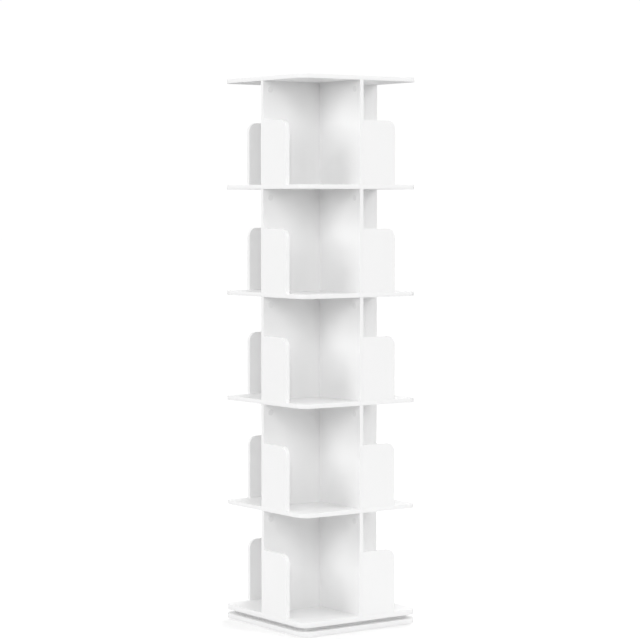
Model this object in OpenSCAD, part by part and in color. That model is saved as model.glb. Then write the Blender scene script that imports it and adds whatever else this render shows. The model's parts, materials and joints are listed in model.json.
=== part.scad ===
// Revolving bookcase: square boards round a cross of dividers, with a short baffle at
// each opening, all turning as one tower on a ball-bearing ring above a fixed base plate.
// Rails on the base plate stand round the ring and close the gap under the tower from view.
// Millimetres. +Z is up, and the origin is on the floor under the middle of the base.
// -X is called left, -Y front, +X right and +Y rear.

/* [Boards] */
// Side of each square board
board_side = 400; // [340:5:460]
// Radius of the boards' four upright corners
board_corner = 30; // [15:1:60]
// Thickness of the shelves and the top board
shelf_t = 12; // [11:1:18]
// Thickness of the bottom board, which carries the tower
bottom_t = 15; // [13:1:22]
// Thickness of the fixed base plate
base_t = 15; // [13:1:22]

/* [Tiers] */
// Number of tiers
tiers = 5; // [2:1:5]
// Clear height of a tier, from board to board
tier_clear = 291; // [230:1:330]

/* [Dividers and baffles] */
// Thickness of the dividers
divider_t = 12; // [11:1:18]
// Thickness of the baffles
baffle_t = 12; // [10:1:18]
// Reach of a baffle from the divider's face
baffle_w = 111; // [95:1:140]
// Height of a baffle above its board
baffle_h = 180; // [150:1:210]
// Radius of a baffle's upper free corner
baffle_corner = 26; // [10:1:50]

/* [Turntable] */
// Height between the base plate and the bottom board
turntable_h = 11.5; // [11:0.5:18]
// Outer diameter of the fixed ring
ring_od = 240; // [220:5:260]
// Width of each ring, measured outwards from the middle
ring_w = 22; // [18:1:26]
// Space between the two rings, where the cage runs
ring_gap = 3; // [2.6:0.1:3.4]
// Height between each ring and the board that it must not touch
ring_lift = 1; // [0.5:0.1:1.5]
// Diameter of the bearing balls
ball_d = 6; // [5:0.5:7]
// Number of bearing balls
ball_count = 36; // [18:1:48]
// Thickness of the ball cage
cage_t = 1.6; // [1.2:0.1:2]
// Height of cage above and below each ball pocket
cage_rim = 1; // [0.6:0.1:1.4]
// Number of screws in each ring
ring_screws = 8; // [4:1:10]
// Diameter of the hole in the base plate that a screwdriver goes through
access_d = 14; // [10:1:20]

/* [Rails] */
// Distance from the base plate's sides to the rails on it, which close the gap from view
rail_inset = 20; // [12:1:30]
// Width of a rail
rail_w = 20; // [14:1:26]
// Height left free between the rails and the bottom board, which turns above them
rail_clear = 1.5; // [1:0.5:3]
// Radius of a rail's outer corner
rail_corner = 10; // [2:1:14]
// Depth that the rails' screws go into the base plate
rail_screw_grip = 10; // [6:1:11]
// Distance from a rail's ends to its screws
rail_screw_inset = 50; // [20:5:90]

/* [Feet] */
// Diameter of a foot pad
foot_d = 30; // [20:1:40]
// Height of a foot pad
foot_h = 2; // [1:0.5:6]
// Distance from the base plate's sides to a foot pad's middle
foot_inset = 42; // [30:1:70]

/* [Cam locks] */
// Distance from a divider's outer end to its cam lock
cam_inset = 25; // [20:1:40]
// Depth of the cam lock's middle below the board above
cam_drop = 24; // [20:1:34]
// Diameter of the cam lock
cam_d = 15; // [12:0.5:16]
// Depth of the cam lock past the middle of the divider's thickness
cam_past = 3.5; // [3.4:0.1:4.2]
// Diameter of the cover cap over a cam lock
cap_d = 17; // [16.5:0.5:20]
// Thickness of a cover cap's disc
cap_t = 1; // [0.6:0.1:2]
// Diameter of the cap's stem
cap_stem_d = 3.6; // [3:0.1:5]
// Length of the cap's stem
cap_stem = 1.8; // [1.2:0.1:2]
// Diameter of the cam bolt's shank
bolt_d = 5; // [4:0.5:5]
// Diameter of the cam bolt's head
bolt_head_d = 6; // [5.4:0.1:6.2]
// Depth that the cam bolt goes into the board above
bolt_seat = 8.5; // [6:0.5:9]

/* [Screws] */
// Diameter of the board screws
screw_d = 4; // [3:0.5:4.5]
// Length of the board screws
screw_len = 35; // [28:1:45]
// Diameter of the board screws' heads
screw_head_d = 8; // [7:0.5:9]
// Distance from a divider's outer end to its outer screw
screw_inset_1 = 60; // [45:1:75]
// Distance from a divider's outer end to its inner screw
screw_inset_2 = 140; // [120:1:148]
// Distance from the divider's face to a baffle's inner screw
baffle_screw_1 = 28; // [22:1:40]
// Distance from the divider's face to a baffle's outer screw
baffle_screw_2 = 84; // [60:1:86]
// Diameter of the ring and rail screws
ring_screw_d = 3.5; // [3:0.5:4]
// Length of the ring screws
ring_screw_len = 20; // [16:1:22]
// Diameter of the ring and rail screws' heads
ring_screw_head_d = 7; // [6:0.5:8]

/* [Dowels] */
// Diameter of every dowel
dowel_d = 6; // [5:0.5:6.5]
// Depth that a dowel goes into the face of a board or divider
dowel_seat = 8; // [6:0.5:9]
// Depth that a dowel goes into the edge of a divider or baffle
dowel_reach = 16; // [10:1:24]
// Distance from a divider's outer end to the dowel in its top edge
dowel_inset = 100; // [88:1:110]
// Height of a baffle's lower dowel
baffle_dowel_1 = 40; // [30:1:55]
// Height of a baffle's upper dowel
baffle_dowel_2 = 130; // [100:1:140]
// Distance from the boards to the dowels where the dividers cross
cross_dowel_inset = 70; // [50:1:90]

/* [Clearances] */
// Radial clearance round dowels, threads and pressed-in pieces
fit_gap = 0.05; // [0.03:0.01:0.1]
// Radial clearance of holes that a screw or bolt only passes through
hole_gap = 0.2; // [0.1:0.05:0.4]
// Radial clearance of a ball in its grooves
ball_gap = 0.1; // [0.05:0.01:0.2]
// Radial clearance of a ball in its cage pocket
pocket_gap = 0.15; // [0.1:0.05:0.3]
// Depth left free past the end of a screw, bolt or dowel
end_gap = 1; // [0.5:0.1:1.5]

/* [Hidden] */
$fn = 48;
// Segments of the large rounds: the boards' corners, the baffles' corners and the rings
fine_fn = 96;
half = board_side / 2;
base_z = foot_h;
base_top = base_z + base_t;
bottom_z = base_top + turntable_h;
bottom_top = bottom_z + bottom_t;
cam_depth = divider_t / 2 + cam_past;
pitch = tier_clear + shelf_t;
// How far a cutting shape reaches past the face that it cuts
over = 1;
white = [0.96, 0.96, 0.955];
steel = [0.72, 0.73, 0.75];
beech = [0.80, 0.66, 0.48];

// Arms of the cross, counted by quarter turns from the left
LEFT = 0;
FRONT = LEFT + 1;
RIGHT = FRONT + 1;
REAR = RIGHT + 1;
ARMS = [LEFT, FRONT, RIGHT, REAR];
SIDES = ["left", "front", "right", "rear"];

// Height of the floor of tier i, where 1 is the lowest
function tier_floor(i) = bottom_top + (i - 1) * pitch;
// The board under tier i is the bottom board for the first, and a shelf for the rest
function under_t(i) = i == 1 ? bottom_t : shelf_t;
// The face of an arm that its cam lock is let into: -1 is the baffle's side
function cam_side(arm) = arm % 2 == 0 ? -1 : 1;

// Turns what is drawn for the left arm onto another arm
module on_arm(arm) {
    rotate([0, 0, 90 * arm]) children();
}

// Repeats what is drawn for the left arm on all four
module on_arms() {
    for (arm = ARMS) on_arm(arm) children();
}

// Repeats what is drawn for the lowest tier in every tier
module in_tiers() {
    for (i = [1 : tiers]) translate([0, 0, tier_floor(i)]) children();
}

// Screws

// Countersunk screw with its head's face at the origin, pointing up
module screw(d, len, head_d) {
    head_h = (head_d - d) / 2;
    tip = d * 0.75;
    slot_w = head_d * 0.12;
    slot_l = head_d * 0.55;
    slot_h = head_h * 0.8;
    difference() {
        union() {
            cylinder(h = head_h, d1 = head_d, d2 = d);
            translate([0, 0, head_h]) cylinder(h = len - head_h - tip, d = d);
            translate([0, 0, len - tip]) cylinder(h = tip, d1 = d, d2 = d * 0.25);
        }
        for (a = [0, 90])
            rotate([0, 0, a]) translate([-slot_l / 2, -slot_w / 2, -slot_h])
                cube([slot_l, slot_w, 2 * slot_h]);
    }
}

// Room for a countersunk screw through a board of thickness t
module screw_way(d, head_d, t) {
    head_h = (head_d - d) / 2;
    translate([0, 0, -over])
        cylinder(h = head_h + over, r1 = head_d / 2 + hole_gap + over, r2 = d / 2 + hole_gap);
    translate([0, 0, -over]) cylinder(h = t + 2 * over, r = d / 2 + hole_gap);
}

// Pilot hole for the part of a screw that goes past a board of thickness t
module pilot(d, len, t) {
    translate([0, 0, -over]) cylinder(h = len - t + end_gap + over, r = d / 2 + fit_gap);
}

// Places of the screws that come up through a board into one arm of the cross
module at_divider_screws() {
    for (inset = [screw_inset_1, screw_inset_2])
        translate([-half + inset, 0, 0]) children();
}

// Places of the screws that come up through a board into one baffle
module at_baffle_screws() {
    for (reach = [baffle_screw_1, baffle_screw_2])
        translate([-half + baffle_t / 2, -divider_t / 2 - reach, 0]) children();
}

// Dowels

// Upright dowel with its middle seam at the origin: seat below it, reach above it
module dowel(down, up) {
    chamfer = dowel_d / 8;
    translate([0, 0, -down]) cylinder(h = chamfer, d1 = dowel_d - 2 * chamfer, d2 = dowel_d);
    translate([0, 0, chamfer - down]) cylinder(h = down + up - 2 * chamfer, d = dowel_d);
    translate([0, 0, up - chamfer]) cylinder(h = chamfer, d1 = dowel_d, d2 = dowel_d - 2 * chamfer);
}

// Room for that dowel
module dowel_hole(down, up) {
    translate([0, 0, -down]) cylinder(h = down + up, r = dowel_d / 2 + fit_gap);
}

// Places of the baffle's dowels, with up turned to point into the baffle
module at_baffle_dowels() {
    for (z = [baffle_dowel_1, baffle_dowel_2])
        translate([-half + baffle_t / 2, -divider_t / 2, z]) rotate([90, 0, 0]) children();
}

// Heights of the dowels that join the short dividers to the long one
module at_cross_dowels() {
    for (z = [cross_dowel_inset, tier_clear - cross_dowel_inset])
        translate([0, 0, z]) children();
}

// Cam locks

// Middle of an arm's cam lock on its open face, with up turned into the divider
module at_cam(arm) {
    side = cam_side(arm);
    translate([-half + cam_inset, side * divider_t / 2, tier_clear - cam_drop])
        rotate([side * 90, 0, 0]) children();
}

// Cam bolt's axis, with the origin at the divider's top edge
module at_bolt() {
    translate([-half + cam_inset, 0, tier_clear]) children();
}

// Cam lock for one arm, open above for the bolt's head and in front for the cap's stem
module cam_lock(arm) {
    throat = bolt_head_d / 2 + hole_gap;
    difference() {
        at_cam(arm) cylinder(h = cam_depth, d = cam_d);
        at_bolt() translate([0, 0, -cam_drop]) {
            sphere(r = throat);
            cylinder(h = cam_drop, r = throat);
        }
        at_cam(arm) translate([0, 0, -over])
            cylinder(h = cap_stem + end_gap / 2 + over, r = cap_stem_d / 2 + fit_gap);
    }
}

// Bolt that the cam lock pulls down, screwed into the board above
module cam_bolt() {
    neck = bolt_head_d * 0.6;
    // The head is a ball cut flat above and below
    head_h = bolt_head_d * 0.8;
    head_rise = bolt_head_d * 0.05;
    at_bolt() {
        translate([0, 0, -cam_drop]) intersection() {
            sphere(d = bolt_head_d);
            translate([0, 0, head_rise]) cube([bolt_head_d, bolt_head_d, head_h], center = true);
        }
        translate([0, 0, -cam_drop]) cylinder(h = cam_d / 2, d = neck);
        translate([0, 0, cam_d / 2 - cam_drop])
            cylinder(h = cam_drop - cam_d / 2 + bolt_seat, d = bolt_d);
    }
}

// Cap pressed into the cam lock, with its disc on the divider's face
module cam_cap(arm) {
    rim = cap_t / 2;
    at_cam(arm) {
        translate([0, 0, -rim]) cylinder(h = rim, d = cap_d);
        translate([0, 0, -cap_t]) cylinder(h = cap_t - rim, d1 = cap_d - 2 * rim, d2 = cap_d);
        cylinder(h = cap_stem, d = cap_stem_d);
    }
}

// Boards

// Square outline with round corners
module board_outline() {
    straight = board_side - 2 * board_corner;
    square([board_side, straight], center = true);
    square([straight, board_side], center = true);
    for (x = [-1, 1], y = [-1, 1])
        translate([x * straight / 2, y * straight / 2]) circle(r = board_corner, $fn = fine_fn);
}

module board(t) {
    linear_extrude(height = t) board_outline();
}

// Holes for the screws that rise through a board of thickness t into the tier above
module tier_above_holes(t) {
    on_arms() {
        at_divider_screws() screw_way(screw_d, screw_head_d, t);
        at_baffle_screws() screw_way(screw_d, screw_head_d, t);
    }
}

// Blind holes in a board's underside for the cam bolts and dowels of the tier below
module tier_below_holes() {
    on_arms() {
        translate([-half + cam_inset, 0, -over])
            cylinder(h = bolt_seat + end_gap + over, r = bolt_d / 2 + fit_gap);
        translate([-half + dowel_inset, 0, -over])
            cylinder(h = dowel_seat + over, r = dowel_d / 2 + fit_gap);
    }
}

module base_plate() {
    color(white) difference() {
        translate([0, 0, base_z]) board(base_t);
        at_base_screws() translate([0, 0, ring_h()]) mirror([0, 0, 1])
            pilot(ring_screw_d, ring_screw_len, 0);
        on_arms() at_rail_screws() mirror([0, 0, 1]) pilot(ring_screw_d, rail_screw_grip, 0);
        rotate([0, 0, deck_screw_turn()]) translate([inner_screw_r(), 0, base_z - over])
            cylinder(h = base_t + 2 * over, d = access_d);
    }
}

module bottom_board() {
    color(white) difference() {
        translate([0, 0, bottom_z]) board(bottom_t);
        translate([0, 0, bottom_z]) tier_above_holes(bottom_t);
        at_deck_screws() translate([0, 0, ring_h()])
            pilot(ring_screw_d, ring_screw_len, ring_h());
    }
}

module shelf(i) {
    color(white) translate([0, 0, tier_floor(i) + tier_clear]) difference() {
        board(shelf_t);
        tier_above_holes(shelf_t);
        tier_below_holes();
    }
}

module top_board() {
    color(white) translate([0, 0, tier_floor(tiers) + tier_clear]) difference() {
        board(shelf_t);
        tier_below_holes();
    }
}

// Dividers and baffles

// Everything drilled into one arm of the cross, measured from its tier's floor
module arm_holes(arm, floor_t) {
    at_cam(arm) translate([0, 0, -over]) cylinder(h = cam_depth + over, r = cam_d / 2 + fit_gap);
    at_bolt() translate([0, 0, -cam_drop])
        cylinder(h = cam_drop + over, r = bolt_head_d / 2 + hole_gap);
    translate([-half + dowel_inset, 0, tier_clear]) dowel_hole(dowel_reach, over);
    at_divider_screws() pilot(screw_d, screw_len, floor_t);
    at_baffle_dowels() dowel_hole(dowel_seat, over);
}

// Full-width divider from left to right
module long_divider(i) {
    color(white) translate([0, 0, tier_floor(i)]) difference() {
        translate([-half, -divider_t / 2, 0]) cube([board_side, divider_t, tier_clear]);
        for (arm = [LEFT, RIGHT]) on_arm(arm) arm_holes(arm, under_t(i));
        at_cross_dowels() rotate([90, 0, 0]) dowel_hole(divider_t, divider_t);
    }
}

// Divider that stands square against the long one, on the given arm
module short_divider(i, arm) {
    color(white) translate([0, 0, tier_floor(i)]) on_arm(arm) difference() {
        translate([-half, -divider_t / 2, 0]) cube([half - divider_t / 2, divider_t, tier_clear]);
        arm_holes(arm, under_t(i));
        at_cross_dowels() translate([-divider_t / 2, 0, 0]) rotate([0, -90, 0])
            dowel_hole(over, dowel_reach);
    }
}

// Upright with one round corner, flush with the board's edge and the divider's end
module baffle(i, arm) {
    color(white) translate([0, 0, tier_floor(i)]) on_arm(arm) difference() {
        translate([-half, -divider_t / 2, 0]) rotate([90, 0, 90])
            linear_extrude(height = baffle_t) {
                translate([-baffle_w, 0]) square([baffle_w, baffle_h - baffle_corner]);
                translate([baffle_corner - baffle_w, 0])
                    square([baffle_w - baffle_corner, baffle_h]);
                translate([baffle_corner - baffle_w, baffle_h - baffle_corner])
                    circle(r = baffle_corner, $fn = fine_fn);
            }
        at_baffle_screws() pilot(screw_d, screw_len, under_t(i));
        at_baffle_dowels() dowel_hole(over, dowel_reach);
    }
}

// Turntable

// Height of each ring
function ring_h() = turntable_h - ring_lift;
// Height of the ball circle's plane, midway between the two boards
function race_z() = base_top + turntable_h / 2;
function race_r() = ring_od / 2 - ring_w - ring_gap / 2;
function outer_screw_r() = ring_od / 2 - ring_w / 2;
function inner_screw_r() = race_r() - ring_gap / 2 - ring_w / 2;
// The upper screws stand between the arms of the cross, clear of the dividers' screws
function deck_screw_turn() = 180 / ring_screws;

// Places of the screws in the fixed ring, on the base plate's top
module at_base_screws() {
    for (k = [0 : ring_screws - 1])
        rotate([0, 0, 360 / ring_screws * k]) translate([outer_screw_r(), 0, base_top]) children();
}

// Places of the screws in the turning ring, on that ring's lower face
module at_deck_screws() {
    for (k = [0 : ring_screws - 1])
        rotate([0, 0, 360 / ring_screws * k + deck_screw_turn()])
            translate([inner_screw_r(), 0, base_top + ring_lift]) children();
}

// Round groove that the balls run in
module race_groove() {
    translate([0, 0, race_z()]) rotate_extrude($fn = fine_fn) translate([race_r(), 0])
        circle(r = ball_d / 2 + ball_gap);
}

module ring(inner_r, outer_r, z) {
    translate([0, 0, z]) difference() {
        cylinder(h = ring_h(), r = outer_r, $fn = fine_fn);
        translate([0, 0, -over]) cylinder(h = ring_h() + 2 * over, r = inner_r, $fn = fine_fn);
    }
}

// Fixed ring, screwed down to the base plate
module bearing_outer_ring() {
    color(steel) difference() {
        ring(race_r() + ring_gap / 2, ring_od / 2, base_top);
        race_groove();
        at_base_screws() translate([0, 0, ring_h()]) mirror([0, 0, 1])
            screw_way(ring_screw_d, ring_screw_head_d, ring_h());
    }
}

// Turning ring, screwed up to the bottom board
module bearing_inner_ring() {
    color(steel) difference() {
        ring(race_r() - ring_gap / 2 - ring_w, race_r() - ring_gap / 2, base_top + ring_lift);
        race_groove();
        at_deck_screws() screw_way(ring_screw_d, ring_screw_head_d, ring_h());
    }
}

module at_balls() {
    for (k = [0 : ball_count - 1])
        rotate([0, 0, 360 / ball_count * k]) translate([race_r(), 0, race_z()]) children();
}

module bearing_balls() {
    color([0.85, 0.86, 0.88]) at_balls() sphere(d = ball_d);
}

// Thin ring that keeps the balls apart
module bearing_cage() {
    cage_h = ball_d + 2 * pocket_gap + 2 * cage_rim;
    color([0.92, 0.91, 0.86]) difference() {
        translate([0, 0, race_z() - cage_h / 2]) difference() {
            cylinder(h = cage_h, r = race_r() + cage_t / 2, $fn = fine_fn);
            translate([0, 0, -over])
                cylinder(h = cage_h + 2 * over, r = race_r() - cage_t / 2, $fn = fine_fn);
        }
        at_balls() rotate([0, 90, 0])
            cylinder(h = ball_d, r = ball_d / 2 + pocket_gap, center = true);
    }
}

module base_ring_screws() {
    color(steel) at_base_screws() translate([0, 0, ring_h()]) mirror([0, 0, 1])
        screw(ring_screw_d, ring_screw_len, ring_screw_head_d);
}

module deck_ring_screws() {
    color(steel) at_deck_screws() screw(ring_screw_d, ring_screw_len, ring_screw_head_d);
}

// Rails

// Height of the rails
function rail_h() = turntable_h - rail_clear;
// Distance from the turning axis to the rails' outer faces
function rail_reach() = half - rail_inset;
// Length of a rail, from its outer corner to the side of the rail that it butts against
function rail_len() = 2 * rail_reach() - rail_w;

// Outline of a rail, with its outer corner at the origin
module rail_outline() {
    difference() {
        square([rail_w, rail_len()]);
        difference() {
            translate([-over, -over]) square(rail_corner + over);
            translate([rail_corner, rail_corner]) circle(r = rail_corner);
        }
    }
}

// Places of the left rail's screws, on the base plate's top
module at_rail_screws() {
    for (y = [rail_screw_inset, rail_len() - rail_screw_inset])
        translate([rail_w / 2 - rail_reach(), y - rail_reach(), base_top]) children();
}

module rail(arm) {
    color(white) on_arm(arm) difference() {
        translate([-rail_reach(), -rail_reach(), base_top])
            linear_extrude(height = rail_h()) rail_outline();
        at_rail_screws() translate([0, 0, rail_h()]) mirror([0, 0, 1])
            screw_way(ring_screw_d, ring_screw_head_d, rail_h());
    }
}

module rail_screws() {
    color(steel) on_arms() at_rail_screws() translate([0, 0, rail_h()]) mirror([0, 0, 1])
        screw(ring_screw_d, rail_h() + rail_screw_grip, ring_screw_head_d);
}

module foot_pads() {
    at = half - foot_inset;
    color([0.25, 0.25, 0.26]) for (x = [-at, at], y = [-at, at])
        translate([x, y, 0]) cylinder(h = foot_h, d = foot_d);
}

// Fasteners of the tower

module divider_screws() {
    color(steel) for (i = [1 : tiers])
        translate([0, 0, tier_floor(i) - under_t(i)]) on_arms() at_divider_screws()
            screw(screw_d, screw_len, screw_head_d);
}

module baffle_screws() {
    color(steel) for (i = [1 : tiers])
        translate([0, 0, tier_floor(i) - under_t(i)]) on_arms() at_baffle_screws()
            screw(screw_d, screw_len, screw_head_d);
}

module top_dowels() {
    color(beech) in_tiers() on_arms() translate([-half + dowel_inset, 0, tier_clear])
        dowel(dowel_reach - end_gap, dowel_seat);
}

module cross_dowels() {
    arm = divider_t / 2 + dowel_reach - end_gap;
    color(beech) in_tiers() at_cross_dowels() rotate([90, 0, 0]) dowel(arm, arm);
}

module baffle_dowels() {
    color(beech) in_tiers() on_arms() at_baffle_dowels()
        dowel(dowel_seat, dowel_reach - end_gap);
}

module cam_bolts() {
    color(steel) in_tiers() on_arms() cam_bolt();
}

module cam_locks() {
    color(steel) in_tiers() for (arm = ARMS) on_arm(arm) cam_lock(arm);
}

module cam_caps() {
    color(white) in_tiers() for (arm = ARMS) on_arm(arm) cam_cap(arm);
}

// The pieces

base_plate();
foot_pads();
bearing_outer_ring();
base_ring_screws();
for (arm = ARMS)
    rail(arm);
rail_screws();
bearing_balls();
bearing_cage();
bearing_inner_ring();
deck_ring_screws();
bottom_board();
for (i = [1 : tiers - 1])
    shelf(i);
top_board();
for (i = [1 : tiers]) {
    long_divider(i);
    short_divider(i, FRONT);
    short_divider(i, REAR);
    for (arm = ARMS)
        baffle(i, arm);
}
divider_screws();
baffle_screws();
top_dowels();
cross_dowels();
baffle_dowels();
cam_bolts();
cam_locks();
cam_caps();
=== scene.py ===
"""Looks of the revolving bookcase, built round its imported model.

Metres. +Z is up, -X is the left side, -Y the front, and the origin is on the floor under the
middle of the base plate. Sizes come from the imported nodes' boxes wherever they give them.
"""

import json
import math

import bmesh
import bpy
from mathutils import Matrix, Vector

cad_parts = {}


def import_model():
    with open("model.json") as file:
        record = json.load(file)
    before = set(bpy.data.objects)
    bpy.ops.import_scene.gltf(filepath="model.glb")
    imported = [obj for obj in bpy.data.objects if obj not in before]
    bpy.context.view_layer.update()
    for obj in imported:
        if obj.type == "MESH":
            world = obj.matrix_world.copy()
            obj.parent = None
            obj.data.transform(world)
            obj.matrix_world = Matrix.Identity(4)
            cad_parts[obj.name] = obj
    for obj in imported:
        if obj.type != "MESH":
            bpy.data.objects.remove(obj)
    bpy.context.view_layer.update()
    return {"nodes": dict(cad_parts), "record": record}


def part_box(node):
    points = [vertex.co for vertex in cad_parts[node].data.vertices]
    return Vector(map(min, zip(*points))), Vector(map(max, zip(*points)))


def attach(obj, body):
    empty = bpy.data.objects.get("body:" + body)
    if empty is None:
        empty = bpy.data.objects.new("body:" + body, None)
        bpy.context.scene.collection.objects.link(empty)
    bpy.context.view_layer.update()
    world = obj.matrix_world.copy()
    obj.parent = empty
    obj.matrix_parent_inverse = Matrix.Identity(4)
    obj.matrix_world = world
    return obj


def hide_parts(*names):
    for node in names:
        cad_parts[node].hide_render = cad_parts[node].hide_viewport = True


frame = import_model()

MM = 0.001

# Tiers from the bottom up, and sides in the order of the corners that their rails turn round
TIERS = range(1, 6)
SIDES = ("left", "front", "right", "rear")

# Round corners of the panels
BOARD_CORNER = 30 * MM
BAFFLE_CORNER = 26 * MM
RAIL_CORNER = 10 * MM

# Edges of the panels: the band, the glue line behind it, the rounding of the band's two edges, and
# how far apart the rings of the mesh are on a side without a band
BAND = 0.8 * MM
GLUE_LINE = 0.1 * MM
ARRIS = 0.5 * MM
PLAIN_STEP = 0.1 * MM

# A panel's materials after the laminate, by their place in its list
BANDING, GLUE, CORE = 1, 2, 3

# Holes: their clearance round a fastener and past its end, and how far a cutting shape goes past a face
HOLE_GAP = 0.1 * MM
END_GAP = 1.0 * MM
OVER = 1.0 * MM

# Radii that no box gives: a screw's shank as a share of its head, a cam bolt's shank, and the
# screwdriver hole in the base plate
SHANK_SHARE = 0.5
BOLT_SHANK = 2.5 * MM
ACCESS_RADIUS = 7.0 * MM

# Screws that go in from above, where all others go in from below
FROM_ABOVE = ("base_ring_screws", "rail_screws")

# Cover caps: thickness of the disc, rounding of its rim, rise of its crown, radius of its stem, and
# the shares of the disc's radius at which the crown has a ring
CAP_DISC = 1.0 * MM
CAP_RIM = 0.4 * MM
CAP_RISE = 0.15 * MM
CAP_STEM = 1.8 * MM
CROWN_SHARES = (0.8, 0.6, 0.4, 0.2)

# Foot pads: rounding of their edges
PAD_ROUND = 0.4 * MM

# Fineness of the meshes: steps of a panel's corner and of a rounded edge, sides of a hole and of a
# turned piece, and the angle in degrees from which an edge stays sharp
CORNER_STEPS = 24
ROUND_STEPS = 4
HOLE_STEPS = 32
PIECE_STEPS = 48
SHARP_ANGLE = 40

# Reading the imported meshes: how far apart two vertices still count as one, and the digits of a
# metre by which boxes are sorted and by which two screws count as equally far to the right
WELD = 0.001 * MM
SORT_DIGITS = 5
LINE_DIGITS = 4

# Fine surfaces: moulded, coated, plated or pressed, with soft tone patches, uneven gloss and a
# grain. tone is how far the patches go from the colour, uneven how far the roughness goes from
# rough, grain its features a metre, and height and strength are those of its relief. The patches
# have PATCH_SCALE features a metre, and the gloss is GLOSS_COARSER times as coarse as the grain
PATCH_SCALE = 9.0
GLOSS_COARSER = 6
GRAIN_DETAIL = 3.0
FINE_SURFACES = {
    "white_laminate": dict(
        color=(0.91, 0.91, 0.91), tone=0.006, rough=0.42, uneven=0.05,
        grain=1400, height=0.05 * MM, strength=0.25),
    "edge_band": dict(
        color=(0.913, 0.913, 0.913), tone=0.004, rough=0.34, uneven=0.04,
        grain=700, height=0.03 * MM, strength=0.1),
    "glue_line": dict(
        color=(0.74, 0.735, 0.72), tone=0.03, rough=0.5, uneven=0.05,
        grain=900, height=0.02 * MM, strength=0.1),
    "cap_plastic": dict(
        color=(0.84, 0.84, 0.84), tone=0.004, rough=0.5, uneven=0.05,
        grain=1600, height=0.04 * MM, strength=0.15),
    "cage_nylon": dict(
        color=(0.86, 0.84, 0.78), tone=0.02, rough=0.45, uneven=0.06,
        grain=900, height=0.05 * MM, strength=0.2),
    "rubber_pad": dict(
        color=(0.06, 0.06, 0.065), tone=0.15, rough=0.75, uneven=0.08,
        grain=1200, height=0.1 * MM, strength=0.4),
    "plated_steel": dict(
        color=(0.70, 0.71, 0.73), tone=0.03, rough=0.3, uneven=0.09,
        grain=900, height=0.02 * MM, strength=0.15, metallic=1.0),
    "cam_zinc": dict(
        color=(0.60, 0.61, 0.63), tone=0.03, rough=0.5, uneven=0.15,
        grain=700, height=0.02 * MM, strength=0.15, metallic=1.0),
    "bearing_steel": dict(
        color=(0.82, 0.83, 0.85), tone=0.03, rough=0.08, uneven=0.024,
        grain=500, height=0.02 * MM, strength=0.15, metallic=1.0),
}

# Bare wood: one noise runs its colour from dark to light, its roughness from smooth to rough and its
# relief. It has scale features a metre, and only stretch times as many along Z
WOOD_DETAIL = 4.0
BARE_WOOD = {
    "chipboard": dict(
        dark=(0.42, 0.28, 0.15), light=(0.70, 0.54, 0.35), smooth=0.75, rough=0.95,
        scale=700, stretch=1.0, height=0.2 * MM, strength=0.5),
    "beech": dict(
        dark=(0.56, 0.37, 0.20), light=(0.74, 0.54, 0.33), smooth=0.55, rough=0.75,
        scale=900, stretch=0.08, height=0.05 * MM, strength=0.3),
}

# Turned aluminium: its two tones, their patches' features a metre, and the scale, unevenness,
# roughness and relief of the lathe's rings
TURNED_DARK = (0.70, 0.71, 0.72)
TURNED_LIGHT = (0.75, 0.76, 0.77)
TURNED_PATCHES = 40
RING_SCALE = 600
RING_DISTORTION = 0.4
RING_SMOOTH, RING_ROUGH = 0.28, 0.4
RING_HEIGHT, RING_STRENGTH = 0.02 * MM, 0.3

# Camera, fitted to the photograph: angles in degrees, the azimuth from +Y and the tilt down from
# level, and the sensor in millimetres
IMAGE_PX = 640
FOCAL_PX = 2243.4
CAMERA_AZIMUTH = -35.63
CAMERA_TILT = 2.946
CAMERA_DISTANCE = 6.4253
CAMERA_HEIGHT = 1.2
SENSOR = 36.0
CLIP_END = 200

# Light: the world, as it lights and as the camera sees it, and softboxes in a ring and one
# overhead, each with its direction from the bookcase in degrees, in plan from +X and up from
# level, and its power in watts. They aim at the height SOFTBOX_AIM on the bookcase's axis
WHITE = (1, 1, 1, 1)
WORLD_LIGHT = 0.52
WORLD_SEEN = 1.02
SOFTBOXES = {
    "left": (165, 25, 77.0),
    "near": (230, 25, 70.0),
    "right": (300, 25, 71.0),
    "rear": (40, 25, 125.0),
    "overhead": (0, 90, 17.0),
}
SOFTBOX_SIZE = 2.4
SOFTBOX_DISTANCE = 5.0
SOFTBOX_AIM = 0.6

# Floor: a white platform round the bookcase that falls off to grey, as light falls on it, and how
# much of plain white the camera sees added to it near the bookcase and far off. Under the base plate
# the camera sees painted light, a glow that fills the plate's contact shadow, up to a blurred edge
FLOOR_SIZE = 120.0
NEAR, NEAR_TONE, NEAR_LIFT = 1.0, 0.75, 0.27
FAR, FAR_TONE, FAR_LIFT = 3.5, 0.40, 0.85
UNDER_PLATE_PAINTED_LIGHT = 0.75
UNDER_BLUR = 2 * MM


# Shader nodes


def noise(tree, coords, scale, detail=2.0):
    """Brightness of a noise texture, with scale in features a metre."""
    node = tree.nodes.new("ShaderNodeTexNoise")
    node.inputs["Scale"].default_value = scale
    node.inputs["Detail"].default_value = detail
    tree.links.new(coords, node.inputs["Vector"])
    return node.outputs["Fac"]


def spread(tree, value, low, high, start=0.0, end=1.0):
    """Maps a value from start..end to low..high."""
    node = tree.nodes.new("ShaderNodeMapRange")
    node.inputs["From Min"].default_value = start
    node.inputs["From Max"].default_value = end
    node.inputs["To Min"].default_value = low
    node.inputs["To Max"].default_value = high
    tree.links.new(value, node.inputs["Value"])
    return node.outputs["Result"]


def two_tone(tree, value, first, second):
    """Blends two colours by a value from 0 to 1."""
    node = tree.nodes.new("ShaderNodeMix")
    node.data_type = "RGBA"
    node.inputs["A"].default_value = (*first, 1)
    node.inputs["B"].default_value = (*second, 1)
    tree.links.new(value, node.inputs["Factor"])
    return node.outputs["Result"]


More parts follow.
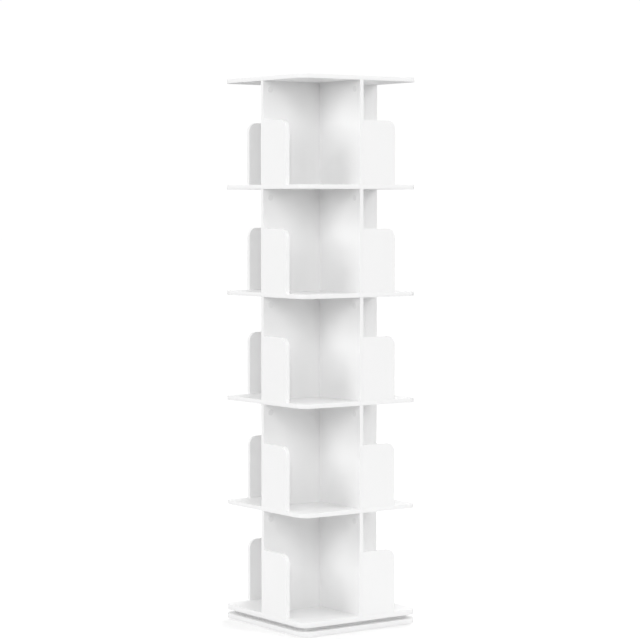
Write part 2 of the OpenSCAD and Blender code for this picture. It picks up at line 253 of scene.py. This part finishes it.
def math_node(tree, operation, *values):
    """The result of a Math node's operation on one or two values."""
    node = tree.nodes.new("ShaderNodeMath")
    node.operation = operation
    for value, socket in zip(values, node.inputs):
        tree.links.new(value, socket)
    return node.outputs[0]


def bump(tree, shader, value, height, strength):
    """Raises the surface by a value times height."""
    node = tree.nodes.new("ShaderNodeBump")
    node.inputs["Strength"].default_value = strength
    node.inputs["Distance"].default_value = height
    tree.links.new(value, node.inputs["Height"])
    tree.links.new(node.outputs["Normal"], shader.inputs["Normal"])


# Materials


def new_material(name):
    """A node material with its node tree, its Principled shader and its object coordinates."""
    made = bpy.data.materials.new(name)
    made.use_nodes = True
    tree = made.node_tree
    shader = tree.nodes["Principled BSDF"]
    coords = tree.nodes.new("ShaderNodeTexCoord").outputs["Object"]
    return made, tree, shader, coords


def shaded(color, amount):
    """The colour times 1 plus amount, a channel at a time."""
    return tuple(min(1.0, c * (1 + amount)) for c in color)


def fine_surface(name, color, tone, rough, uneven, grain, height, strength, metallic=0.0):
    """A material of FINE_SURFACES."""
    made, tree, shader, coords = new_material(name)
    patches = noise(tree, coords, PATCH_SCALE)
    tones = two_tone(tree, patches, shaded(color, -tone), shaded(color, tone))
    tree.links.new(tones, shader.inputs["Base Color"])
    gloss = noise(tree, coords, grain / GLOSS_COARSER)
    tree.links.new(spread(tree, gloss, rough - uneven, rough + uneven), shader.inputs["Roughness"])
    bump(tree, shader, noise(tree, coords, grain, GRAIN_DETAIL), height, strength)
    shader.inputs["Metallic"].default_value = metallic
    return made


def bare_wood(name, dark, light, smooth, rough, scale, stretch, height, strength):
    """A material of BARE_WOOD."""
    made, tree, shader, coords = new_material(name)
    drawn = tree.nodes.new("ShaderNodeMapping")
    drawn.inputs["Scale"].default_value = (1.0, 1.0, stretch)
    tree.links.new(coords, drawn.inputs["Vector"])
    grain = noise(tree, drawn.outputs["Vector"], scale, WOOD_DETAIL)
    tree.links.new(two_tone(tree, grain, dark, light), shader.inputs["Base Color"])
    tree.links.new(spread(tree, grain, smooth, rough), shader.inputs["Roughness"])
    bump(tree, shader, grain, height, strength)
    return made


def turned_metal():
    """Aluminium turned on a lathe: fine rings round the bookcase's axis."""
    made, tree, shader, coords = new_material("turntable_ring")
    shader.inputs["Metallic"].default_value = 1.0
    wave = tree.nodes.new("ShaderNodeTexWave")
    wave.wave_type = "RINGS"
    wave.rings_direction = "Z"
    wave.inputs["Scale"].default_value = RING_SCALE
    wave.inputs["Distortion"].default_value = RING_DISTORTION
    tree.links.new(coords, wave.inputs["Vector"])
    rings = wave.outputs["Fac"]
    tones = two_tone(tree, noise(tree, coords, TURNED_PATCHES), TURNED_DARK, TURNED_LIGHT)
    tree.links.new(tones, shader.inputs["Base Color"])
    tree.links.new(spread(tree, rings, RING_SMOOTH, RING_ROUGH), shader.inputs["Roughness"])
    bump(tree, shader, rings, RING_HEIGHT, RING_STRENGTH)
    return made


# Shapes


def middle(box):
    """The centre of a box."""
    return (box[0] + box[1]) / 2


def quarter(steps):
    """Angles of a quarter turn, from 0 on."""
    return [k * math.pi / 2 / steps for k in range(steps + 1)]


def facing(box):
    """A flat round piece in a divider's face: its axis, pointing outwards, its radius and its depth."""
    span = box[1] - box[0]
    across = min(range(3), key=lambda i: span[i])
    out = math.copysign(1.0, middle(box)[across])
    return Vector([out * (i == across) for i in range(3)]), max(span) / 2, span[across]


def solids(node):
    """The box of each separate solid in a CAD node, as its lowest and highest corner."""
    mesh = bmesh.new()
    mesh.from_mesh(frame["nodes"][node].data)
    bmesh.ops.remove_doubles(mesh, verts=mesh.verts, dist=WELD)
    boxes, left = [], set(mesh.verts)
    while left:
        found, reached = [], [left.pop()]
        while reached:
            vert = reached.pop()
            found.append(vert.co.copy())
            for edge in vert.link_edges:
                other = edge.other_vert(vert)
                if other in left:
                    left.remove(other)
                    reached.append(other)
        boxes.append((Vector(map(min, *found)), Vector(map(max, *found))))
    mesh.free()
    return sorted(boxes, key=lambda box: tuple(round(x, SORT_DIGITS) for x in box[0]))


def lathe(mesh, profile, origin, axis, steps=HOLE_STEPS):
    """Adds a closed turned solid: profile is its (radius, height) pairs along the axis from the origin."""
    turn = Vector(axis).to_track_quat("Z", "Y")
    angles = [k * math.tau / steps for k in range(steps)]
    loops = []
    for radius, height in profile:
        points = [Vector((radius * math.cos(a), radius * math.sin(a), height)) for a in angles]
        loops.append([mesh.verts.new(origin + turn @ point) for point in points])
    mesh.faces.new(reversed(loops[0]))
    mesh.faces.new(loops[-1])
    for lower, upper in zip(loops, loops[1:]):
        for k in range(steps):
            n = (k + 1) % steps
            mesh.faces.new((lower[k], lower[n], upper[n], upper[k]))


def finished(mesh, name, body, materials, nodes):
    """Turns a bmesh into a piece that rides on a body and replaces CAD nodes."""
    bmesh.ops.recalc_face_normals(mesh, faces=mesh.faces)
    for face in mesh.faces:
        face.smooth = True
    data = bpy.data.meshes.new(name)
    mesh.to_mesh(data)
    mesh.free()
    for item in materials:
        data.materials.append(item)
    data.set_sharp_from_angle(angle=math.radians(SHARP_ANGLE))
    piece = bpy.data.objects.new(name, data)
    bpy.context.scene.collection.objects.link(piece)
    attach(piece, body)
    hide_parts(*nodes)


# Holes for the fasteners


def overlap(box, low, high):
    """Whether a fastener's box reaches into a panel's box."""
    return all(box[0][i] < high[i] - WELD and box[1][i] > low[i] + WELD for i in range(3))


def screw_hole(mesh, box, up):
    """Countersink, clearance and pilot hole of a screw with its head below, or above if up is -1."""
    head = (box[1].x - box[0].x) / 2
    shank = head * SHANK_SHARE
    start = middle(box)
    start.z = box[0].z if up == 1 else box[1].z
    length = box[1].z - box[0].z
    sink = [(head + HOLE_GAP + OVER, -OVER), (shank + HOLE_GAP, head - shank)]
    lathe(mesh, sink + [(shank + HOLE_GAP, length + END_GAP)], start, (0, 0, up))


def dowel_hole(mesh, box):
    """Round hole along a dowel, with room past both ends."""
    span = box[1] - box[0]
    along = max(range(3), key=lambda i: span[i])
    axis = Vector([float(i == along) for i in range(3)])
    radius, reach = min(span) / 2 + HOLE_GAP, span[along] / 2 + END_GAP
    lathe(mesh, [(radius, -reach), (radius, reach)], middle(box), axis)


def cam_pocket(mesh, box):
    """Round pocket for a cam lock, open at the face of the divider."""
    axis, radius, depth = facing(box)
    radius += HOLE_GAP
    lathe(mesh, [(radius, -depth / 2), (radius, depth / 2 + OVER)], middle(box), axis)


def bolt_way(mesh, box, low, high):
    """Hole for a cam bolt: as wide as its head in the divider, and as its shank in the board above."""
    start = middle(box)
    start.z = box[0].z
    if box[0].z > low.z:
        radius, reach = (box[1].x - box[0].x) / 2 + HOLE_GAP, high.z - box[0].z + OVER
    else:
        radius, reach = BOLT_SHANK + HOLE_GAP, box[1].z - box[0].z + END_GAP
    lathe(mesh, [(radius, 0.0), (radius, reach)], start, (0, 0, 1))


def access_hole(mesh, low, high):
    """Hole through the base plate for a screwdriver, under the screw of the upper ring farthest right.

    Of two screws that are equally far to the right it takes the rear one.
    """
    centres = [middle(box) for box in FASTENERS["deck_ring_screws"]]
    at = max(centres, key=lambda c: (round(c.x, LINE_DIGITS), c.y))
    through = [(ACCESS_RADIUS, low.z - OVER), (ACCESS_RADIUS, high.z + OVER)]
    lathe(mesh, through, Vector((at.x, at.y, 0)), (0, 0, 1))


def cut(mesh, cutter):
    """Takes a bmesh of closed solids out of another."""
    for face in cutter.faces:
        face.material_index = CORE
    bmesh.ops.recalc_face_normals(mesh, faces=mesh.faces)
    pair = []
    for name, source in (("panel", mesh), ("cutter", cutter)):
        data = bpy.data.meshes.new(name)
        source.to_mesh(data)
        made = bpy.data.objects.new(name, data)
        bpy.context.scene.collection.objects.link(made)
        for item in PANEL_MATERIALS:
            data.materials.append(item)
        pair.append(made)
    modifier = pair[0].modifiers.new("holes", "BOOLEAN")
    modifier.operation = "DIFFERENCE"
    modifier.solver = "EXACT"
    modifier.object = pair[1]
    depsgraph = bpy.context.evaluated_depsgraph_get()
    left = bpy.data.meshes.new_from_object(pair[0].evaluated_get(depsgraph))
    mesh.clear()
    mesh.from_mesh(left)
    bpy.data.meshes.remove(left)
    for made in pair:
        data = made.data
        bpy.data.objects.remove(made)
        bpy.data.meshes.remove(data)


def drilled(mesh, low, high):
    """Cuts the holes of every fastener that reaches into a panel.

    Crossing holes go in separate cuts. Only the base plate lies wholly below the screws of the
    upper ring, and it gets their screwdriver hole.
    """
    first, second = bmesh.new(), bmesh.new()
    for kind, boxes in FASTENERS.items():
        for box in boxes:
            if not overlap(box, low, high):
                continue
            if kind.endswith("screws"):
                screw_hole(first, box, -1 if kind in FROM_ABOVE else 1)
            elif kind.endswith("dowels"):
                dowel_hole(first, box)
            elif kind == "cam_locks":
                cam_pocket(first, box)
            else:
                bolt_way(second, box, low, high)
    if high.z < FASTENERS["deck_ring_screws"][0][0].z:
        access_hole(first, low, high)
    for cutter in (first, second):
        if cutter.verts:
            cut(mesh, cutter)
        cutter.free()


# Panels


def ring(low, high, radii, insets):
    """Outline points of a rectangle whose sides are moved in by insets, with round corners.

    Corner i starts side i, and the sides run bottom, right, top, left. Gives the points and the
    side that starts at each.
    """
    left, bottom = low[0] + insets[3], low[1] + insets[0]
    right, top = high[0] - insets[1], high[1] - insets[2]
    points, sides = [], []
    for i, (u, v) in enumerate(((left, bottom), (right, bottom), (right, top), (left, top))):
        if radii[i] == 0:
            points.append((u, v))
            sides.append(i)
            continue
        radius = radii[i] - insets[i]
        start = math.pi + i * math.pi / 2
        centre_u = u + radius * (1 if i in (0, 3) else -1)
        centre_v = v + radius * (1 if i in (0, 1) else -1)
        for turn in quarter(CORNER_STEPS):
            angle = start + turn
            points.append((centre_u + radius * math.cos(angle), centre_v + radius * math.sin(angle)))
            sides.append(i)
    return points, sides


def edge_profile(thickness):
    """Rings of a panel from one face round its edge to the other.

    Each is the inset on a banded side, the inset on a plain side, and the height.
    """
    rise = [(BAND + GLUE_LINE, 2 * PLAIN_STEP, 0.0), (BAND, PLAIN_STEP, 0.0)]
    rise += [(ARRIS * (1 - math.sin(a)), 0.0, ARRIS * (1 - math.cos(a))) for a in quarter(ROUND_STEPS)]
    return rise + [(banded, plain, thickness - height) for banded, plain, height in reversed(rise)]


def panel(node, body, axes, radii, banded):
    """A laminated panel with an edge band, in a CAD node's box.

    axes are the world axes of the outline's u and v and of the thickness, radii and banded go by
    corner and side as in ring().
    """
    low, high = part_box(node)
    u, v, w = axes
    mesh = bmesh.new()
    loops = []
    for inset_banded, inset_plain, height in edge_profile(high[w] - low[w]):
        insets = [inset_banded if b else inset_plain for b in banded]
        points, sides = ring((low[u], low[v]), (high[u], high[v]), radii, insets)
        loop = []
        for pu, pv in points:
            co = Vector((0, 0, 0))
            co[u], co[v], co[w] = pu, pv, low[w] + height
            loop.append(mesh.verts.new(co))
        loops.append(loop)
    mesh.faces.new(loops[0])
    mesh.faces.new(loops[-1])
    last = len(loops) - 2
    for k in range(len(loops) - 1):
        for j, side in enumerate(sides):
            n = (j + 1) % len(sides)
            face = mesh.faces.new((loops[k][j], loops[k][n], loops[k + 1][n], loops[k + 1][j]))
            if banded[side]:
                face.material_index = GLUE if k in (0, last) else BANDING
    drilled(mesh, low, high)
    finished(mesh, node + "_panel", body, PANEL_MATERIALS, [node])


def board(node, body):
    """A square board, banded all round its four round corners."""
    panel(node, body, (0, 1, 2), [BOARD_CORNER] * 4, [True] * 4)


def rail(node, corner):
    """A rail on the base plate, banded on both sides of its one round corner."""
    radii = [RAIL_CORNER if i == corner else 0.0 for i in range(4)]
    panel(node, "base", (0, 1, 2), radii, [i in (corner, (corner - 1) % 4) for i in range(4)])


def upright(node, corner=0.0, top_banded=False):
    """A divider or baffle: its outer end is banded, and a baffle's top and upper free corner too."""
    low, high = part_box(node)
    across = 0 if high.x - low.x < high.y - low.y else 1
    along = 1 - across
    reach = max(abs(low[along]), abs(high[along]))
    banded = [False, abs(high[along]) > reach - MM, top_banded, abs(low[along]) > reach - MM]
    radii = [0.0, 0.0, corner if banded[1] else 0.0, corner if banded[3] else 0.0]
    panel(node, "tower", (along, 2, across), radii, banded)


# Caps and pads


def cam_caps():
    """Caps over the cam locks: a thin disc with a rounded rim and a slight crown, and its stem."""
    mesh = bmesh.new()
    for box in solids("cam_caps"):
        axis, radius, depth = facing(box)
        stem, shoulder = depth - CAP_DISC, CAP_DISC - CAP_RISE
        foot = middle(box) - axis * (depth / 2 - stem)
        lower = [(CAP_STEM, -stem), (CAP_STEM, 0.0), (radius - CAP_RIM / 2, 0.0), (radius, CAP_RIM / 4)]
        rim = [(radius - CAP_RIM + CAP_RIM * math.cos(a), shoulder - CAP_RIM + CAP_RIM * math.sin(a))
               for a in quarter(ROUND_STEPS)]
        crown = [(radius * share, CAP_DISC - CAP_RISE * share ** 2) for share in CROWN_SHARES]
        lathe(mesh, lower + rim + crown, foot, axis, PIECE_STEPS)
    finished(mesh, "cam_cap_set", "tower", [FINISHES["cap_plastic"]], ["cam_caps"])


def foot_pads():
    """Rubber pads with rounded edges."""
    mesh = bmesh.new()
    for low, high in solids("foot_pads"):
        radius, height = (high.x - low.x) / 2, high.z - low.z
        lower = [(radius - PAD_ROUND * (1 - math.sin(a)), PAD_ROUND * (1 - math.cos(a)))
                 for a in quarter(ROUND_STEPS)]
        upper = [(r, height - h) for r, h in reversed(lower)]
        foot = Vector(((low.x + high.x) / 2, (low.y + high.y) / 2, low.z))
        lathe(mesh, lower + upper, foot, (0, 0, 1), PIECE_STEPS)
    finished(mesh, "foot_pad_set", "base", [FINISHES["rubber_pad"]], ["foot_pads"])


# Stage


def background(tree, strength):
    """White light of a strength from the world."""
    node = tree.nodes.new("ShaderNodeBackground")
    node.inputs["Strength"].default_value = strength
    node.inputs["Color"].default_value = WHITE
    return node.outputs[0]


def world():
    """Soft white light from all round, and plain white where the camera or a gloss looks past everything."""
    made = bpy.data.worlds.new("studio")
    bpy.context.scene.world = made
    made.use_nodes = True
    tree = made.node_tree
    tree.nodes.clear()
    path = tree.nodes.new("ShaderNodeLightPath").outputs
    seen = math_node(tree, "MAXIMUM", path["Is Camera Ray"], path["Is Glossy Ray"])
    seen = math_node(tree, "MAXIMUM", seen, path["Is Transmission Ray"])
    mix = tree.nodes.new("ShaderNodeMixShader")
    tree.links.new(seen, mix.inputs[0])
    tree.links.new(background(tree, WORLD_LIGHT), mix.inputs[1])
    tree.links.new(background(tree, WORLD_SEEN), mix.inputs[2])
    out = tree.nodes.new("ShaderNodeOutputWorld")
    tree.links.new(mix.outputs[0], out.inputs["Surface"])


def floor():
    """A pale floor that keeps the bookcase's shadow round it. For the camera it gets a lift to plain white,
    and under the base plate a painted light that fills the plate's contact shadow.
    """
    bpy.ops.mesh.primitive_plane_add(size=FLOOR_SIZE, location=(0, 0, 0))
    plane = bpy.context.object
    plane.name = "floor"
    made = bpy.data.materials.new("floor")
    made.use_nodes = True
    tree = made.node_tree
    tree.nodes.clear()
    coords = tree.nodes.new("ShaderNodeTexCoord").outputs["Object"]
    length = tree.nodes.new("ShaderNodeVectorMath")
    length.operation = "LENGTH"
    tree.links.new(coords, length.inputs[0])
    away = length.outputs["Value"]
    apart = tree.nodes.new("ShaderNodeSeparateXYZ")
    tree.links.new(coords, apart.inputs[0])
    sides = [math_node(tree, "ABSOLUTE", apart.outputs[axis]) for axis in ("X", "Y")]
    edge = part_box("base_plate")[1].x
    farther = math_node(tree, "MAXIMUM", *sides)
    # Painted light: for the camera the floor under the base plate glows, which fills the plate's contact
    # shadow in the slit under it
    under = spread(tree, farther, UNDER_PLATE_PAINTED_LIGHT, 0.0, edge - UNDER_BLUR, edge)
    beside = spread(tree, away, NEAR_LIFT, FAR_LIFT, NEAR, FAR)
    lift = math_node(tree, "MAXIMUM", beside, under)
    seen = tree.nodes.new("ShaderNodeLightPath").outputs["Is Camera Ray"]
    diffuse = tree.nodes.new("ShaderNodeBsdfDiffuse")
    tree.links.new(spread(tree, away, NEAR_TONE, FAR_TONE, NEAR, FAR), diffuse.inputs["Color"])
    glow = tree.nodes.new("ShaderNodeEmission")
    tree.links.new(math_node(tree, "MULTIPLY", lift, seen), glow.inputs["Strength"])
    add = tree.nodes.new("ShaderNodeAddShader")
    tree.links.new(diffuse.outputs[0], add.inputs[0])
    tree.links.new(glow.outputs[0], add.inputs[1])
    out = tree.nodes.new("ShaderNodeOutputMaterial")
    tree.links.new(add.outputs[0], out.inputs["Surface"])
    plane.data.materials.append(made)


def softbox(name, azimuth, elevation, power):
    """A square soft lamp aimed at the bookcase. Gloss doesn't show it, as it shows a white room already."""
    data = bpy.data.lights.new(name, "AREA")
    data.shape = "SQUARE"
    data.size = SOFTBOX_SIZE
    data.energy = power
    lamp = bpy.data.objects.new(name, data)
    bpy.context.scene.collection.objects.link(lamp)
    aim = Vector((0, 0, SOFTBOX_AIM))
    turn, rise = math.radians(azimuth), math.radians(elevation)
    way = Vector((math.cos(turn) * math.cos(rise), math.sin(turn) * math.cos(rise), math.sin(rise)))
    lamp.location = aim + SOFTBOX_DISTANCE * way
    lamp.rotation_euler = (-way).to_track_quat("-Z", "Y").to_euler()
    lamp.visible_glossy = False


def camera():
    """The photograph's camera, as a least-squares fit to the panels' edges placed it."""
    data = bpy.data.cameras.new("camera")
    data.sensor_width = SENSOR
    data.lens = FOCAL_PX * SENSOR / IMAGE_PX
    data.clip_end = CLIP_END
    view = bpy.data.objects.new("camera", data)
    bpy.context.scene.collection.objects.link(view)
    azimuth = math.radians(CAMERA_AZIMUTH)
    tilt = math.radians(CAMERA_TILT)
    ahead = Vector((-math.sin(azimuth), math.cos(azimuth), 0))
    view.location = -CAMERA_DISTANCE * ahead + Vector((0, 0, CAMERA_HEIGHT))
    gaze = ahead * math.cos(tilt) - Vector((0, 0, math.sin(tilt)))
    view.rotation_euler = gaze.to_track_quat("-Z", "Y").to_euler()
    bpy.context.scene.camera = view


# The bookcase

bpy.context.scene.view_settings.view_transform = "Standard"
FINISHES = {name: fine_surface(name, **values) for name, values in FINE_SURFACES.items()}
FINISHES.update({name: bare_wood(name, **values) for name, values in BARE_WOOD.items()})
FINISHES["turntable_ring"] = turned_metal()
# The panels are built anew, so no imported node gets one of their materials
PANEL_MATERIALS = [FINISHES.pop(name) for name in ("white_laminate", "edge_band", "glue_line", "chipboard")]
FASTENERS = {
    node: solids(node)
    for node in (
        "divider_screws", "baffle_screws", "base_ring_screws", "deck_ring_screws", "rail_screws",
        "top_dowels", "cross_dowels", "baffle_dowels", "cam_locks", "cam_bolts",
    )
}

board("base_plate", "base")
for corner, name in enumerate(SIDES):
    rail(f"{name}_rail", corner)
for node in ("bottom_board", *(f"shelf_{tier}" for tier in TIERS[:-1]), "top_board"):
    board(node, "tower")
for tier in TIERS:
    for name in ("long", "front", "rear"):
        upright(f"{name}_divider_{tier}")
    for name in SIDES:
        upright(f"{name}_baffle_{tier}", BAFFLE_CORNER, True)

cam_caps()
foot_pads()
for part in frame["record"]["subparts"]:
    finish = FINISHES.get(part["material_slot"])
    if finish:
        data = frame["nodes"][part["node"]].data
        data.materials.clear()
        data.materials.append(finish)

world()
floor()
for name, setting in SOFTBOXES.items():
    softbox(name + "_softbox", *setting)
camera()
